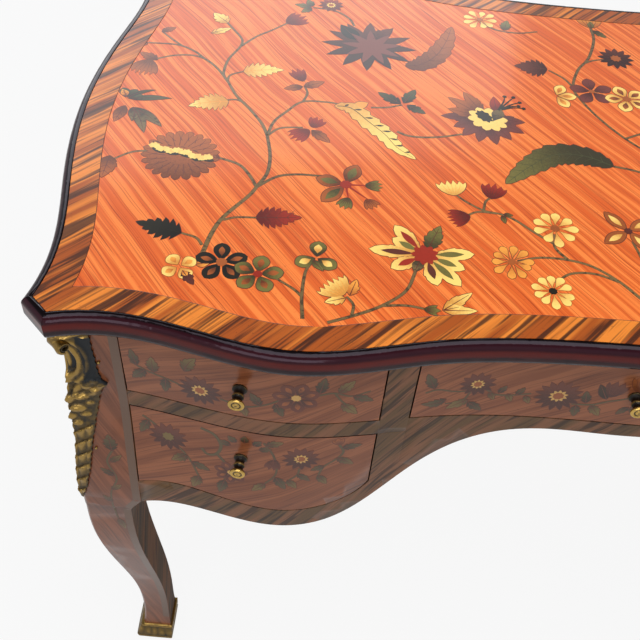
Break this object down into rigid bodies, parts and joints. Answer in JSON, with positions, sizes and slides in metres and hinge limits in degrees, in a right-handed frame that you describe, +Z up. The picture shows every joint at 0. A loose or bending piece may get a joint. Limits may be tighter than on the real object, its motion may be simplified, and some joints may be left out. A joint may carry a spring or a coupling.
{
  "type": "serpentine marquetry writing desk",
  "caption": "Serpentine-fronted writing desk with a kneehole, drawers in the frieze, cabriole legs, floral marquetry and gilt bronze corner mounts.",
  "frame": {"origin": "on the floor, under the middle of the top", "axes": "+Z up, +X along the desk's length to the right of a person standing in front of it, front facing -Y"},
  "size_m": [1.2, 0.687, 0.78],
  "materials": {
    "field_veneer": "french polished tulipwood, high gloss",
    "banding_veneer": "french polished kingwood, dark stripes, high gloss",
    "edge_wood": "very dark red-brown wood, high gloss",
    "kingwood": "polished kingwood veneer, satin",
    "drawer_veneer": "polished tulipwood veneer, satin",
    "gilt_bronze": "worn gilt bronze with dark patina in the hollows",
    "knob_brass": "turned and polished brass",
    "oak": "plain oak, waxed",
    "screw_steel": "darkened steel screws"
  },
  "bodies": {
    "carcass": {"top_board": "oak", "top_field_veneer": "field_veneer", "top_cross_banding": "banding_veneer", "top_edge_moulding": "edge_wood", "leg_front_left": "kingwood", "leg_front_right": "kingwood", "leg_back_left": "kingwood", "leg_back_right": "kingwood", "corner_mount_front_left": "gilt_bronze", "corner_mount_front_right": "gilt_bronze", "corner_mount_back_left": "gilt_bronze", "corner_mount_back_right": "gilt_bronze", "foot_sabot_front_left": "gilt_bronze", "foot_sabot_front_right": "gilt_bronze", "foot_sabot_back_left": "gilt_bronze", "foot_sabot_back_right": "gilt_bronze", "apron_left": "kingwood", "apron_centre": "kingwood", "apron_right": "kingwood", "mid_rail_left": "kingwood", "mid_rail_right": "kingwood", "divider_left": "kingwood", "divider_right": "kingwood", "top_rail": "oak", "side_panel_left": "kingwood", "side_panel_right": "kingwood", "back_panel": "kingwood", "partition_left": "oak", "partition_right": "oak", "dust_boards": "oak", "runners_left": "oak", "runners_centre": "oak", "runners_right": "oak", "corner_blocks": "oak", "top_screws": "screw_steel"},
    "drawer_upper_left": {"upper_left_drawer_front": "drawer_veneer", "upper_left_drawer_sides": "oak", "upper_left_drawer_back": "oak", "upper_left_drawer_bottom": "oak", "upper_left_drawer_knob": "knob_brass"},
    "drawer_lower_left": {"lower_left_drawer_front": "drawer_veneer", "lower_left_drawer_sides": "oak", "lower_left_drawer_back": "oak", "lower_left_drawer_bottom": "oak", "lower_left_drawer_knob": "knob_brass"},
    "drawer_centre": {"centre_drawer_front": "drawer_veneer", "centre_drawer_sides": "oak", "centre_drawer_back": "oak", "centre_drawer_bottom": "oak", "centre_drawer_knob": "knob_brass"},
    "drawer_upper_right": {"upper_right_drawer_front": "drawer_veneer", "upper_right_drawer_sides": "oak", "upper_right_drawer_back": "oak", "upper_right_drawer_bottom": "oak", "upper_right_drawer_knob": "knob_brass"},
    "drawer_lower_right": {"lower_right_drawer_front": "drawer_veneer", "lower_right_drawer_sides": "oak", "lower_right_drawer_back": "oak", "lower_right_drawer_bottom": "oak", "lower_right_drawer_knob": "knob_brass"}
  },
  "joints": [
    {"name": "upper_left_drawer_slide", "type": "slide", "parent": "carcass", "child": "drawer_upper_left", "axis": [0, -1, 0], "range_m": [0, 0.34]},
    {"name": "lower_left_drawer_slide", "type": "slide", "parent": "carcass", "child": "drawer_lower_left", "axis": [0, -1, 0], "range_m": [0, 0.34]},
    {"name": "centre_drawer_slide", "type": "slide", "parent": "carcass", "child": "drawer_centre", "axis": [0, -1, 0], "range_m": [0, 0.34]},
    {"name": "upper_right_drawer_slide", "type": "slide", "parent": "carcass", "child": "drawer_upper_right", "axis": [0, -1, 0], "range_m": [0, 0.34]},
    {"name": "lower_right_drawer_slide", "type": "slide", "parent": "carcass", "child": "drawer_lower_right", "axis": [0, -1, 0], "range_m": [0, 0.34]}
  ]
}
